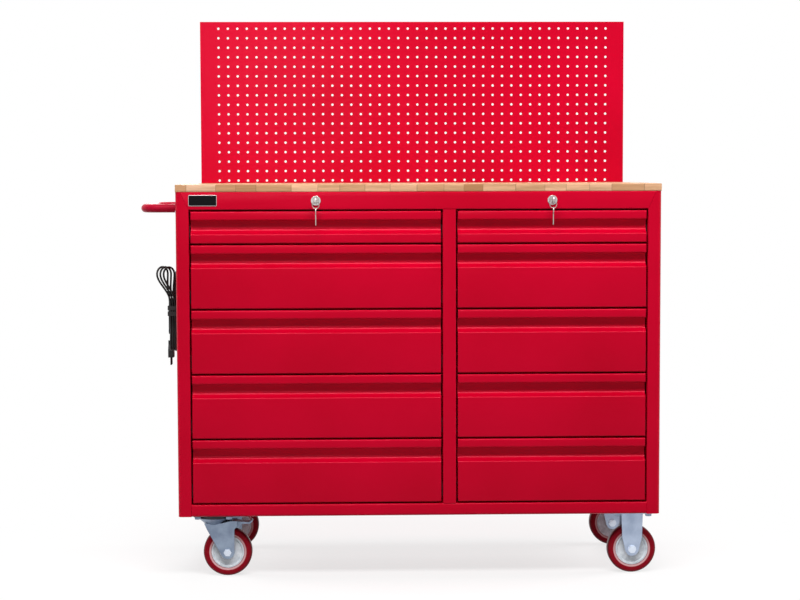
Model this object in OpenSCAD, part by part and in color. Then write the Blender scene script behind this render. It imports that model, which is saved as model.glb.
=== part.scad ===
// Rolling tool cabinet: ten drawers in two columns, wooden worktop, perforated back panel.
// Millimetres, +Z up, floor at z = 0, drawers open toward -Y, handle on the -X end.

/* [Cabinet] */
// Width of the steel body
cabinet_w = 1200; // [1000:10:1500]
// Depth of the steel body
cabinet_d = 480; // [440:10:600]
// Height of the steel body
cabinet_h = 806; // [680:2:950]
// Sheet steel thickness
sheet = 1.2; // [0.8:0.1:1.6]
// Thickness of the wooden worktop
worktop_t = 18; // [15:1:40]

/* [Front frame] */
// Width of the left and right uprights
side_stile = 33; // [28:1:45]
// Width of the middle upright
mid_stile = 33; // [28:1:60]
// Height of the top rail that holds the locks
top_rail_h = 44; // [42:1:60]
// Height of the bottom rail
bottom_rail_h = 30; // [24:1:50]
// Width of the left drawer opening
left_opening = 625; // [420:5:700]
// Radius of the outer edge of the left and right uprights
edge_r = 10; // [5:0.5:14]
// Radius of the lower edge of the bottom rail
foot_r = 6; // [4:0.5:10]

/* [Drawers] */
// Gap around each drawer front
front_gap = 4; // [3:0.5:6]
// Height of the two top drawer fronts
shallow_h = 79; // [74:1:110]
// Height of the grip band at the top of a front
lip_h = 22; // [18:1:26]
// Height of the finger recess under the grip band
pull_h = 34; // [30:1:38]
// Depth of the finger recess
pull_d = 18; // [14:1:22]
// How far a drawer slides out
drawer_travel = 300; // [200:10:320]
// Length of the runners
runner_l = 390; // [370:5:390]
// Height of the runners
runner_h = 35; // [30:1:38]

/* [Perforated panel] */
// Spacing of the panel holes
peg_pitch = 25.4; // [25.4:0.1:30]
// Holes in a row
peg_columns = 42; // [30:1:42]
// Rows of holes
peg_rows = 17; // [8:1:20]
// Diameter of a panel hole
peg_hole_d = 6.4; // [5:0.2:8]

/* [Casters] */
// Distance from the floor to the steel body
caster_h = 158; // [154:1:175]
// Wheel diameter
wheel_d = 122; // [110:1:124]
// Wheel width
wheel_w = 32; // [28:1:36]
// Distance from a swivel axis to its axle
caster_trail = 34; // [30:1:38]

/* [Handle and lock] */
// Diameter of the push handle tube
handle_d = 21; // [18:1:25]
// How far the handle stands out from the side
handle_reach = 93; // [80:1:120]
// Distance between the handle's two legs
handle_span = 320; // [240:10:400]
// Turn of a lock from open to locked
lock_turn = 90; // [90:1:90]

/* [Cord] */
// Cord diameter
cord_d = 5; // [4.6:0.1:5.4]
// Turns of cord in the hank
hank_turns = 3; // [2:1:3]

/* [Hidden] */
column_names = ["left", "right"];
caster_names = ["front", "rear"];
row_count = 5;

$fn = 48;
paint = [0.75, 0.02, 0.14];
zinc = [0.66, 0.69, 0.74];
bright = [0.8, 0.8, 0.8];
black = [0.06, 0.06, 0.07];

// The steel body
left_x = -cabinet_w / 2;
right_x = cabinet_w / 2;
front_y = -cabinet_d / 2;
back_y = cabinet_d / 2;
base_z = caster_h;
top_z = base_z + cabinet_h;
worktop_z = top_z + worktop_t;
inner_back_y = back_y - 2 * sheet;
bend_r = 1.5;
bend_steps = 4;
wide_bend_steps = 8;
wide_bend_r = 4;
stile_return = 26;
rear_flange = 22;
rail_flange = 40;
rail_return = 20;
mitre_inset = edge_r + 2;
seam = 0.5;
touch = 0.4;
weld_gap = 0.1;

// The two columns of drawers
mid_x = left_x + side_stile + left_opening;
opening_x = [[left_x + side_stile, mid_x], [mid_x + mid_stile, right_x - side_stile]];
column_x = [for (o = opening_x) (o[0] + o[1]) / 2];
deep_h = (cabinet_h - top_rail_h - bottom_rail_h - shallow_h - (row_count + 1) * front_gap)
    / (row_count - 1);
function front_h(row) = row == 1 ? shallow_h : deep_h;
function front_top(row) = top_z - top_rail_h - front_gap
    - (row == 1 ? 0 : shallow_h + front_gap + (row - 2) * (deep_h + front_gap));
function front_bottom(row) = front_top(row) - front_h(row);

// A drawer
front_t = pull_d + sheet;
pull_wall = 11;
shelf_rise = 6;
cove_r = pull_d - 4;
front_edge_r = 2.4;
face_edge_r = 3.2;
front_end_r = 2;
rear_space = 42;
box_y0 = front_y + front_t;
box_y1 = back_y - rear_space;
box_drop = 14;
box_lift = 6;
hem = 7;
runner_t = 12.7;
runner_sheet = 1.5;
runner_play = 0.3;
runner_y0 = front_y + stile_return - 2;
function runner_z(row) = front_bottom(row) + box_lift + 4;
catch_w = 24;
catch_l = 12;
catch_drop = 10;
function catch_z(row) = front_bottom(row) + 42;

// The locks and the bars that they lift
lock_z = top_z - top_rail_h / 2;
lock_barrel_r = 7.5;
lock_housing_r = 9.5;
lock_housing_l = 22;
lock_flange_r = 12;
lock_flange_t = 2.5;
lock_face_t = 3.2;
lock_rod_r = 4;
crank_t = 3;
run_play = 0.08;
bar_w = 26;
bar_t = 2.5;
bar_y = back_y - 24;
bar_lift = 10;
crank_r = bar_lift / 2 / sin(lock_turn / 2);
pin_r = 2;
pin_play = 0.6;
bar_bottom = front_bottom(row_count) + 4;
bar_top = lock_z + 4;
guide_h = 16;
guide_wall = 4;
guide_play = 0.3;
guide_z = [catch_z(row_count) + guide_h / 2, catch_z(1) + guide_h / 2];
tooth_w = 16;
tooth_y = box_y1 + 3;
tooth_t = 3;
tooth_hook_t = 4;
tooth_hook_h = 12;
tooth_play = 1;
key_hole_y = front_y - 21;
key_t = 2.2;
key_bow_r = 11;
key_hole_r = 3;
ring_r = 8.5;
ring_wire_r = 0.9;
ring_z = lock_z - key_hole_r + ring_wire_r + 0.2;

// The perforated panel above the worktop
peg_margin_x = 49;
peg_margin_top = 18;
peg_margin_bottom = 7;
peg_w = (peg_columns - 1) * peg_pitch + 2 * peg_margin_x;
peg_top = worktop_z + (peg_rows - 1) * peg_pitch + peg_margin_top + peg_margin_bottom;
peg_d = 18;
peg_y = back_y - peg_d;
post_w = 30;
post_d = 25;
post_t = 1.5;
post_x = (peg_w - peg_margin_x) / 2;
post_below = 320;

// The casters
plate_l = 100;
plate_d = 84;
plate_t = 4;
leg_gap = wheel_w / 2 + 4;
leg_t = 3;
axle_z = wheel_d / 2;
axle_r = 6;
axle_boss_r = 17;
leg_end_steps = 16;
nut_h = 7;
nut_r = 10;
caster_y = [front_y + 62, back_y - 62];
swivel_x = left_x + 85;
rigid_x = right_x - 63;
crown_z = wheel_d + 4;
crown_t = 4;
crown_half = 18;
race_z = caster_h - plate_t - 6;
race_r = 42;
race_play = 0.3;
king_r = 6;
pedal_x = swivel_x + caster_trail + 16;
pedal_z = wheel_d + 10.5;
pedal_pin_r = 3;
hub_r = 41;

// The cord, its hank and the outlet box on the left side
handle_z = top_z - 41;
handle_y = -10;
handle_bend_r = 32;
cord_r = cord_d / 2;
outlet_y = [front_y + 122, front_y + 242];
outlet_z = [base_z + 446, base_z + 518];
outlet_t = 30;
gland_y = front_y + 134;
gland_x = left_x - 15;
gland_h = 26;
hank_y = front_y + 62;
hank_x = left_x - cord_r - 2.5;
hank_z = base_z + 503;
hank_step = cord_d + 0.6;
hank_fold_r = 18;
hank_waist = cord_r + 0.6;
hank_up = 98;
hank_down = 74;
hank_lean = 20;
hank_twist = 45;
hank_fan = 10;
tail_drop = 58;
tail_side = 37;
plug_l = 42;

// The whole part stands with the middle of its outline over the origin
right_reach = max(right_x, rigid_x + wheel_d / 2);
shift_x = (handle_reach - left_x - right_reach) / 2;
shift_y = (-(key_hole_y - key_bow_r) - (back_y + post_d)) / 2;

// Sheet metal: a folded strip drawn from its visible side, thickness on the left of the path
function unit(v) = v / norm(v);
function left_of(v) = [-v[1], v[0]];
function turn_of(a, b, c) = cross(b - a, c - b);
function corner_arc(a, b, c, r) = let (
        d = unit(b - a), e = unit(c - b), s = sign(cross(d, e)),
        angle = acos(max(-1, min(1, d * e))), start = b - d * r * tan(angle / 2),
        centre = start + left_of(d) * s * r, spoke = start - centre,
        steps = r > wide_bend_r ? wide_bend_steps : bend_steps)
    [for (k = [0 : steps]) let (w = s * angle * k / steps)
        centre + [spoke[0] * cos(w) - spoke[1] * sin(w), spoke[0] * sin(w) + spoke[1] * cos(w)]];
function shifted(path, t) = let (n = len(path)) [for (i = [0 : n - 1]) let (
        d = unit(path[min(i + 1, n - 1)] - path[min(i, n - 2)]),
        e = unit(path[max(i, 1)] - path[max(i - 1, 0)]))
    path[i] + (left_of(d) + left_of(e)) * t / (1 + d * e)];
function bent(path, radii) = let (n = len(path)) concat([path[0]],
    [for (i = [1 : n - 2]) each corner_arc(path[i - 1], path[i], path[i + 1], radii[i - 1])],
    [path[n - 1]]);
function side_radii(path, radii, t, inner) = [for (i = [1 : len(path) - 2])
    let (left = turn_of(path[i - 1], path[i], path[i + 1]) > 0)
    radii[i - 1] + (left == inner ? 0 : t)];
function reversed(list) = [for (i = [len(list) - 1 : -1 : 0]) list[i]];
function strip(path, radii, t = sheet) = concat(
    bent(path, side_radii(path, radii, t, false)),
    reversed(bent(shifted(path, t), side_radii(path, radii, t, true))));
function even(path) = [for (i = [1 : len(path) - 2]) bend_r];
function round_box(x0, y0, x1, y1, r) = bent(
    [[(x0 + x1) / 2, y0], [x1, y0], [x1, y1], [x0, y1], [x0, y0], [(x0 + x1) / 2, y0]], [r, r, r, r]);

module along_x(x0, x1) {
    translate([x0, 0, 0]) rotate([90, 0, 90]) linear_extrude(x1 - x0) children();
}

module along_y(y0, y1) {
    translate([0, y1, 0]) rotate([90, 0, 0]) linear_extrude(y1 - y0) children();
}

module along_z(z0, z1) {
    translate([0, 0, z0]) linear_extrude(z1 - z0) children();
}

module rod_y(x, z, y0, y1, r) {
    translate([x, y1, z]) rotate([90, 0, 0]) cylinder(h = y1 - y0, r = r);
}

// Left side: rear flange, side wall, front upright and its return, with the runner post inside
module side_shell() {
    path = [[left_x + rear_flange, back_y], [left_x, back_y], [left_x, front_y],
        [left_x + side_stile, front_y], [left_x + side_stile, front_y + stile_return]];
    flange_y0 = front_y + rail_flange + 6;
    flange_y1 = inner_back_y - rear_flange - 4;
    rail_z = top_z - top_rail_h;
    difference() {
        union() {
            along_z(base_z, top_z) polygon(strip(path, [bend_r, edge_r - sheet, bend_r]));
            translate([left_x + sheet / 2, flange_y0, top_z - sheet])
                cube([rear_flange, flange_y1 - flange_y0, sheet]);
        }
        along_y(front_y - 1, front_y + rail_flange + 1)
            polygon([[left_x + mitre_inset, top_z + 1], [left_x + mitre_inset, top_z],
                [left_x + side_stile - seam, rail_z], [left_x + side_stile + 1, rail_z],
                [left_x + side_stile + 1, top_z + 1]]);
    }
    post_y = runner_y0 + runner_l - 60;
    post = [[left_x + sheet, post_y], [left_x + side_stile, post_y],
        [left_x + side_stile, post_y + 44], [left_x + sheet, post_y + 44]];
    along_z(base_z + sheet, top_z - top_rail_h) polygon(strip(post, even(post)));
}

module left_side_panel() {
    color(paint) side_shell();
}

module right_side_panel() {
    color(paint) mirror([1, 0, 0]) side_shell();
}

// Back: a folded sheet with two guides behind each column for the lock bars
module back_panel() {
    path = [[inner_back_y - rear_flange, base_z + sheet], [back_y - sheet, base_z + sheet],
        [back_y - sheet, top_z], [inner_back_y - rear_flange, top_z]];
    color(paint) {
        along_x(left_x + sheet + bend_r, right_x - sheet - bend_r) polygon(strip(path, even(path)));
        for (x = column_x) for (z = guide_z) lock_bar_guide(x, z);
    }
}

module lock_bar_guide(x, z) {
    half = bar_w / 2;
    y0 = bar_y - guide_wall;
    along_z(z, z + guide_h) difference() {
        translate([x - half - guide_wall, y0]) square([bar_w + 2 * guide_wall, inner_back_y - y0]);
        translate([x - half - guide_play, bar_y - guide_play])
            square([bar_w + 2 * guide_play, bar_t + 2 * guide_play]);
    }
}

// Base: floor sheet notched at the front corners, folded up into the bottom rail
module base_pan() {
    rail = [[front_y + 60, base_z], [front_y, base_z], [front_y, base_z + bottom_rail_h],
        [front_y + rail_return, base_z + bottom_rail_h]];
    color(paint) {
        along_x(left_x + side_stile, right_x - side_stile)
            polygon(strip(reversed(rail), [front_edge_r, foot_r - sheet]));
        translate([left_x + sheet, front_y + stile_return + 2, base_z])
            cube([cabinet_w - 2 * sheet, cabinet_d - stile_return - 2 - sheet - bend_r, sheet]);
    }
}

// Middle upright: a deep hat section from the front frame to the back
module center_divider() {
    x0 = mid_x;
    x1 = mid_x + mid_stile;
    flange = 16;
    path = [[x0 - flange, inner_back_y - sheet], [x0, inner_back_y - sheet], [x0, front_y],
        [x1, front_y], [x1, inner_back_y - sheet], [x1 + flange, inner_back_y - sheet]];
    color(paint) along_z(base_z + bottom_rail_h, top_z - top_rail_h)
        polygon(strip(path, even(path)));
}

// Top rail: folded sheet with mitred ends and a hole for each lock
module top_rail() {
    rail_z = top_z - top_rail_h;
    mitre_x = left_x + mitre_inset + seam;
    path = [[front_y + rail_flange, top_z], [front_y, top_z], [front_y, rail_z],
        [front_y + rail_return, rail_z]];
    color(paint) difference() {
        intersection() {
            along_x(left_x + mitre_inset, right_x - mitre_inset) polygon(strip(path, even(path)));
            along_y(front_y - 1, front_y + rail_flange + 1)
                polygon([[mitre_x, top_z + 1], [-mitre_x, top_z + 1], [-mitre_x, top_z],
                    [right_x - side_stile, rail_z], [right_x - side_stile, rail_z - 1],
                    [left_x + side_stile, rail_z - 1], [left_x + side_stile, rail_z], [mitre_x, top_z]]);
        }
        for (x = column_x) rod_y(x, lock_z, front_y - 1, front_y + 5, lock_housing_r + touch / 2);
    }
}

module worktop() {
    color([0.85, 0.66, 0.46]) along_x(left_x, right_x)
        polygon(round_box(front_y, top_z, peg_y - touch, worktop_z, 1.5));
}

// Perforated panel: a shallow tray turned to the front, standing on the body behind the worktop
module perforated_panel() {
    peg_h = peg_top - top_z;
    color(paint) {
        along_y(peg_y, peg_y + sheet) difference() {
            translate([-peg_w / 2, top_z]) square([peg_w, peg_h]);
            for (i = [0 : peg_columns - 1]) for (j = [0 : peg_rows - 1])
                translate([(i - (peg_columns - 1) / 2) * peg_pitch,
                    worktop_z + peg_margin_bottom + j * peg_pitch])
                    circle(d = peg_hole_d, $fn = 16);
        }
        along_y(peg_y, back_y) difference() {
            translate([-peg_w / 2, top_z]) square([peg_w, peg_h]);
            translate([-peg_w / 2 + sheet, top_z + sheet]) square([peg_w - 2 * sheet, peg_h - 2 * sheet]);
        }
    }
}

// Two tubes behind the body that carry the perforated panel
module panel_posts() {
    color(paint) for (x = [-post_x, post_x]) along_z(worktop_z - post_below, peg_top - 6)
        difference() {
            translate([x - post_w / 2, back_y]) square([post_w, post_d]);
            translate([x - post_w / 2 + post_t, back_y + post_t])
                square([post_w - 2 * post_t, post_d - 2 * post_t]);
        }
}

// Push handle: a bent tube welded to two round flanges
module push_handle() {
    flange_t = 3;
    flange_r = 24;
    leg = handle_reach - handle_d / 2 - handle_bend_r;
    y0 = handle_y - handle_span / 2;
    y1 = handle_y + handle_span / 2;
    bar_x = left_x - handle_reach + handle_d / 2;
    color(paint) {
        for (y = [y0, y1]) translate([left_x, y, handle_z]) rotate([0, -90, 0]) {
            cylinder(h = flange_t, r = flange_r);
            cylinder(h = leg, d = handle_d);
        }
        translate([bar_x, y0 + handle_bend_r, handle_z]) rotate([-90, 0, 0])
            cylinder(h = handle_span - 2 * handle_bend_r, d = handle_d);
        translate([bar_x + handle_bend_r, y0 + handle_bend_r, handle_z]) rotate([0, 0, 180])
            rotate_extrude(angle = 90) translate([handle_bend_r, 0]) circle(d = handle_d);
        translate([bar_x + handle_bend_r, y1 - handle_bend_r, handle_z]) rotate([0, 0, 90])
            rotate_extrude(angle = 90) translate([handle_bend_r, 0]) circle(d = handle_d);
    }
}

// Runner channel fixed to the cabinet, open toward the drawer; side is 1 on the left of a column
module outer_runner(x, side, z) {
    path = [[runner_t - 2.4, 0], [0, 0], [0, runner_h], [runner_t - 2.4, runner_h]];
    along_y(runner_y0, runner_y0 + runner_l) translate([x, z]) mirror([side > 0 ? 0 : 1, 0])
        polygon(strip(reversed(path), even(path), runner_sheet));
}

// Runner channel fixed to the drawer, running inside the other one
module inner_runner(x, side, z) {
    rim = runner_sheet + runner_play;
    web_x = runner_t - 0.1;
    path = [[2.2, rim], [web_x, rim], [web_x, runner_h - rim], [2.2, runner_h - rim]];
    along_y(runner_y0, runner_y0 + runner_l) translate([x, z]) mirror([side > 0 ? 0 : 1, 0])
        polygon(strip(path, even(path), runner_sheet));
}

module cabinet_runners() {
    color(zinc) for (o = opening_x) for (row = [1 : row_count]) {
        outer_runner(o[0], 1, runner_z(row));
        outer_runner(o[1], -1, runner_z(row));
    }
}

// Drawer front: one sheet folded into grip band, finger recess and face
module drawer_front(column, row) {
    h = front_h(row);
    fold = sheet / 2;
    wall_z = -lip_h - pull_wall;
    shelf_z = -lip_h - pull_h;
    path = [[front_t, 0], [0, 0], [0, -lip_h], [pull_d, -lip_h], [pull_d, shelf_z + shelf_rise],
        [0, shelf_z], [0, -h], [front_t, -h]];
    radii = [front_edge_r, front_edge_r, 2, cove_r, face_edge_r, front_edge_r];
    mid = shifted(path, fold);
    end_plate = concat([[front_t, wall_z]], bent([[pull_d + fold, wall_z], mid[4], mid[5], mid[6],
        [front_t, fold - h]], [cove_r + fold, face_edge_r + fold, front_edge_r + fold]));
    x0 = opening_x[column][0] + front_gap;
    x1 = opening_x[column][1] - front_gap;
    plan = [[x1, box_y0 + 1], [x1, front_y], [x0, front_y], [x0, box_y0 + 1]];
    color(paint) intersection() {
        union() {
            along_x(x0, x1) translate([front_y, front_top(row)]) polygon(strip(path, radii));
            for (x = [x0, x1 - sheet]) along_x(x, x + sheet) translate([front_y, front_top(row)])
                polygon(end_plate);
        }
        along_z(front_bottom(row) - 1, front_top(row) + 1)
            polygon(bent(plan, [front_end_r, front_end_r]));
    }
}

// Drawer box: a folded tray with hemmed sides, its two runners and the catch behind it
module drawer_box(column, row) {
    x0 = opening_x[column][0] + runner_t;
    x1 = opening_x[column][1] - runner_t;
    z0 = front_bottom(row) + box_lift;
    z1 = front_top(row) - box_drop;
    tray = [[x0 + hem, z1], [x0, z1], [x0, z0], [x1, z0], [x1, z1], [x1 - hem, z1]];
    wall_in = sheet + weld_gap;
    foot_y = box_y1 + weld_gap;
    hook_z = catch_z(row) + sheet;
    lip_z = catch_z(row) - catch_drop;
    hook = [[box_y1 + catch_l, lip_z], [box_y1 + catch_l, hook_z], [foot_y, hook_z], [foot_y, lip_z]];
    color(paint) {
        along_y(box_y0, box_y1) polygon(strip(tray, even(tray)));
        for (y = [box_y0, box_y1 - sheet]) along_y(y, y + sheet)
            polygon(round_box(x0 + wall_in, z0 + wall_in, x1 - wall_in, z1 - wall_in, bend_r + weld_gap));
        along_x(column_x[column] - catch_w / 2, column_x[column] + catch_w / 2)
            polygon(strip(hook, even(hook)));
        inner_runner(opening_x[column][0], 1, runner_z(row));
        inner_runner(opening_x[column][1], -1, runner_z(row));
    }
}

// Lock housing: a flanged tube fixed in the top rail
module lock_housings() {
    color(bright) for (x = column_x) difference() {
        union() {
            rod_y(x, lock_z, front_y - lock_flange_t, front_y, lock_flange_r);
            rod_y(x, lock_z, front_y - 1, front_y + lock_housing_l, lock_housing_r);
        }
        rod_y(x, lock_z, front_y - lock_flange_t - 1, front_y + lock_housing_l + 1,
            lock_barrel_r + run_play);
    }
}

// Lock: turning barrel with its long rod and crank, and the key that stands in it
module lock(column) {
    x = column_x[column];
    face_y = front_y - lock_face_t;
    tail_y = front_y + lock_housing_l + 2;
    crank_y = bar_y - crank_t - 1;
    color(bright) {
        rod_y(x, lock_z, face_y, tail_y, lock_barrel_r);
        rod_y(x, lock_z, tail_y - 1, crank_y + crank_t, lock_rod_r);
        pin_x = x + crank_r * cos(lock_turn / 2);
        pin_z = lock_z - crank_r * sin(lock_turn / 2);
        rod_y(pin_x, pin_z, crank_y, crank_y + crank_t, lock_rod_r);
        translate([x, crank_y, lock_z]) rotate([0, lock_turn / 2, 0]) translate([0, 0, -lock_rod_r])
            cube([crank_r, crank_t, 2 * lock_rod_r]);
        rod_y(pin_x, pin_z, crank_y + 1, bar_y + bar_t + 1.5, pin_r);
    }
    color([0.72, 0.7, 0.62]) along_x(x - key_t / 2, x + key_t / 2) difference() {
        union() {
            translate([key_hole_y, lock_z]) circle(r = key_bow_r);
            translate([key_hole_y, lock_z - 4]) square([face_y - key_hole_y, 8]);
        }
        translate([key_hole_y, lock_z]) circle(r = key_hole_r);
    }
}

// Spare key hanging from the bow of the key in the lock by a wire ring
module spare_key(column) {
    x = column_x[column];
    hang_z = ring_z - 2 * ring_r;
    bow_r = 9;
    color(bright) translate([x, key_hole_y, ring_z - ring_r]) rotate([90, 0, 0])
        rotate_extrude() translate([ring_r, 0]) circle(r = ring_wire_r, $fn = 16);
    color([0.72, 0.7, 0.62]) along_x(x - key_t / 2, x + key_t / 2)
        translate([key_hole_y, hang_z - 1.2]) difference() {
            union() {
                translate([0, -bow_r + 4]) circle(r = bow_r);
                translate([-3.2, -40]) square([6.4, 30]);
            }
            circle(r = 2.4);
        }
}

// Lock bar: a flat bar with a tooth under each drawer catch and a slot for the crank pin
module lock_bar(column) {
    x = column_x[column];
    slot_x0 = crank_r * cos(lock_turn / 2) - pin_r - pin_play;
    slot_x1 = crank_r + pin_r + pin_play;
    slot_z = lock_z - bar_lift / 2;
    slot_h = pin_r + pin_play;
    foot_y = bar_y - weld_gap;
    color(zinc) {
        along_y(bar_y, bar_y + bar_t) difference() {
            translate([x - bar_w / 2, bar_bottom]) square([bar_w, bar_top - bar_bottom]);
            translate([x + slot_x0, slot_z - slot_h]) square([slot_x1 - slot_x0, 2 * slot_h]);
        }
        for (row = [1 : row_count]) let (hook_z = catch_z(row) - catch_drop - tooth_play)
            along_x(x - tooth_w / 2, x + tooth_w / 2) translate([0, hook_z - tooth_hook_h])
            polygon([[foot_y, -tooth_t], [tooth_y, -tooth_t], [tooth_y, tooth_hook_h],
                [tooth_y + tooth_hook_t, tooth_hook_h], [tooth_y + tooth_hook_t, 0],
                [foot_y, 0]]);
    }
}

// Outlet box on the left side, with two sockets facing out
module outlet_box() {
    socket_r = 19;
    socket_depth = 12;
    pin_hole_r = 2.6;
    mid_z = (outlet_z[0] + outlet_z[1]) / 2;
    color(black) difference() {
        along_x(left_x - outlet_t, left_x)
            polygon(round_box(outlet_y[0], outlet_z[0], outlet_y[1], outlet_z[1], 7));
        for (y = [outlet_y[0] + 34, outlet_y[1] - 34]) translate([left_x - outlet_t, y, mid_z])
            rotate([0, 90, 0]) {
                translate([0, 0, -1]) cylinder(h = socket_depth + 1, r = socket_r);
                for (s = [-9.5, 9.5]) translate([0, s, 0])
                    cylinder(h = socket_depth + 10, r = pin_hole_r, $fn = 24);
            }
    }
}

module cord_gland() {
    color(black) translate([gland_x, gland_y, outlet_z[1]]) {
        cylinder(h = 8, r = 9, $fn = 6);
        translate([0, 0, 8]) cylinder(h = gland_h - 8, r1 = 6.5, r2 = cord_r + 1.2);
    }
}

// The hank: each turn is an upper and a lower fold, drawn in where the tie holds it
function ease(t) = let (u = max(0, min(1, (t - 0.24) / 0.76))) u * u * (3 - 2 * u);
function fold_point(s, rise) = let (k = 0.38)
    s < k ? [hank_waist + (hank_fold_r - hank_waist) * ease(s / k), rise * s / k]
    : s > 1 - k ? [-hank_waist - (hank_fold_r - hank_waist) * ease((1 - s) / k), rise * (1 - s) / k]
    : let (w = 180 * (s - k) / (1 - 2 * k)) [hank_fold_r * cos(w), rise + hank_fold_r * sin(w)];
function hank_flat(turns) = let (s = turns - floor(turns))
    s < 0.5 ? let (p = fold_point(s * 2, hank_down)) [p[0], -p[1]]
    : let (p = fold_point(s * 2 - 1, hank_up)) [-p[0], p[1]];
function hank_point(turns) = let (p = hank_flat(turns),
        up = max(0, p[1] - 26) / (hank_up - 10), u = min(1, up / 0.82), swing = u * u * (3 - 2 * u),
        twist = hank_twist * swing, lean = hank_lean * swing * (1 + turns / hank_turns) / 2)
    [hank_x - hank_step * turns - lean + p[0] * sin(twist),
     hank_y + p[0] * cos(twist) + hank_fan * (turns - hank_turns / 2) * up,
     hank_z + p[1]];
hank_rings = 24;
hank_lead_in = 3;
tail_rings = 8;
tail_x = hank_x - hank_step * hank_turns;
tail_z = hank_z - 8;
function tail_point(t) = let (u = t * t * (3 - 2 * t))
    [tail_x, hank_y + hank_waist + (tail_side - hank_waist) * u, tail_z - tail_drop * t];
hank_points = concat(
    [for (i = [-hank_lead_in : hank_rings * hank_turns]) hank_point(i / hank_rings)],
    [for (i = [0 : tail_rings]) tail_point(i / tail_rings)],
    [tail_point(1) - [0, 0, cord_d]]);
plug_top = hank_points[len(hank_points) - 1];

// The free stretch: an arch from the gland over to the first strand of the hank
lead_rings = 16;
lead_start = [gland_x, gland_y, outlet_z[1] + gland_h];
lead_knots = [lead_start + [0, 0, cord_d], lead_start + [0, 0, 70],
    hank_points[0] - 58 * run_at(hank_points, 0), hank_points[0]];
function bezier(k, t) = pow(1 - t, 3) * k[0] + 3 * t * pow(1 - t, 2) * k[1]
    + 3 * t * t * (1 - t) * k[2] + pow(t, 3) * k[3];
lead_points = concat([lead_start], [for (i = [0 : lead_rings]) bezier(lead_knots, i / lead_rings)]);

// Least gap between strands of the hank, taken over points that are not neighbours on the run
function strand_gap(points, skip) = min([for (i = [0 : len(points) - 1])
    for (j = [i + skip : 1 : len(points) - 1]) norm(points[i] - points[j])]) - cord_d;
function between(points, cuts) = [for (i = [0 : len(points) - 2]) for (k = [0 : cuts - 1])
    points[i] + (points[i + 1] - points[i]) * k / cuts];
echo(least_strand_gap = strand_gap(between(hank_points, 3), 14));

// A tube swept along points, with flat ends square to its run
function run_at(points, i) = unit(points[min(i + 1, len(points) - 1)] - points[max(i - 1, 0)]);
function ring_at(points, i, r, sides) = let (d = run_at(points, i),
        a = unit(cross(d, [1, 0.02, 0.01])), b = cross(d, a))
    [for (k = [0 : sides - 1]) points[i] + r * (a * cos(360 * k / sides) + b * sin(360 * k / sides))];

module swept_tube(points, r, sides) {
    n = len(points);
    polyhedron(
        points = [for (i = [0 : n - 1]) each ring_at(points, i, r, sides)],
        faces = concat([[for (k = [0 : sides - 1]) k]],
            [for (i = [0 : n - 2]) for (k = [0 : sides - 1]) let (m = (k + 1) % sides)
                [i * sides + k, (i + 1) * sides + k, (i + 1) * sides + m, i * sides + m]],
            [[for (k = [sides - 1 : -1 : 0]) (n - 1) * sides + k]]),
        convexity = 10);
}

module power_cord() {
    color(black) swept_tube(lead_points, cord_r, 8);
}

module cord_hank() {
    color(black) swept_tube(hank_points, cord_r, 6);
}

// Two bands around the waist of the hank
module cord_tie() {
    room = 0.8;
    band_t = 1.2;
    x0 = tail_x - cord_r - room;
    x1 = hank_x + cord_r + room;
    half = hank_waist + cord_r + room;
    color(black) for (z = [hank_z - 6, hank_z + 8]) along_z(z, z + 11) difference() {
        polygon(round_box(x0 - band_t, hank_y - half - band_t, x1 + band_t, hank_y + half + band_t, 4));
        polygon(round_box(x0, hank_y - half, x1, hank_y + half, 2.8));
    }
}

// Plug: a flat tapered body with two round pins
module plug() {
    body_t = 14;
    half = 14;
    neck = 5;
    pin_l = 19;
    y = plug_top[1];
    z = plug_top[2];
    color(black) along_x(tail_x - body_t / 2, tail_x + body_t / 2)
        polygon([[y - neck, z], [y - neck, z - 10], [y - half, z - 22], [y - half, z - plug_l],
            [y + half, z - plug_l], [y + half, z - 22], [y + neck, z - 10], [y + neck, z]]);
    color(bright) for (s = [-9.5, 9.5]) translate([tail_x, y + s, z - plug_l - pin_l])
        cylinder(h = pin_l, r = 2, $fn = 24);
}

// Outline of a fork leg: straight sides that meet the round end at the axle
function tangent_point(corner, centre, r, side) = let (v = centre - corner, d = norm(v),
        w = asin(r / d), l = sqrt(d * d - r * r), u = v / d)
    corner + l * [u[0] * cos(w) - side * u[1] * sin(w), side * u[0] * sin(w) + u[1] * cos(w)];

function leg_end(from, to, centre) = let (v = from - centre, w = to - centre,
        a = atan2(v[1], v[0]), b = atan2(w[1], w[0]), sweep = b < a ? b - a : b - a - 360)
    [for (k = [0 : leg_end_steps]) centre + axle_boss_r
        * [cos(a + sweep * k / leg_end_steps), sin(a + sweep * k / leg_end_steps)]];

module fork_leg(axle_x, upper) {
    n = len(upper);
    centre = [axle_x, axle_z];
    difference() {
        polygon(concat(upper, leg_end(tangent_point(upper[n - 1], centre, axle_boss_r, 1),
            tangent_point(upper[0], centre, axle_boss_r, -1), centre)));
        translate(centre) circle(r = axle_r + 0.05);
    }
}

module axle(x, y) {
    color(zinc) {
        rod_y(x, axle_z, y - leg_gap - leg_t - nut_h, y + leg_gap + leg_t + nut_h, axle_r);
        for (s = [-1, 1]) translate([x, y + s * (leg_gap + leg_t), axle_z]) rotate([-90 * s, 0, 0])
            cylinder(h = nut_h - 1, r = nut_r, $fn = 6);
    }
}

module caster_plate(x, y) {
    along_z(caster_h - plate_t, caster_h) difference() {
        polygon(round_box(x - plate_l / 2, y - plate_d / 2, x + plate_l / 2, y + plate_d / 2, 6));
        for (i = [-1, 1]) for (j = [-1, 1])
            translate([x + i * (plate_l / 2 - 11), y + j * (plate_d / 2 - 11)]) circle(r = 4.5);
    }
}

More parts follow.
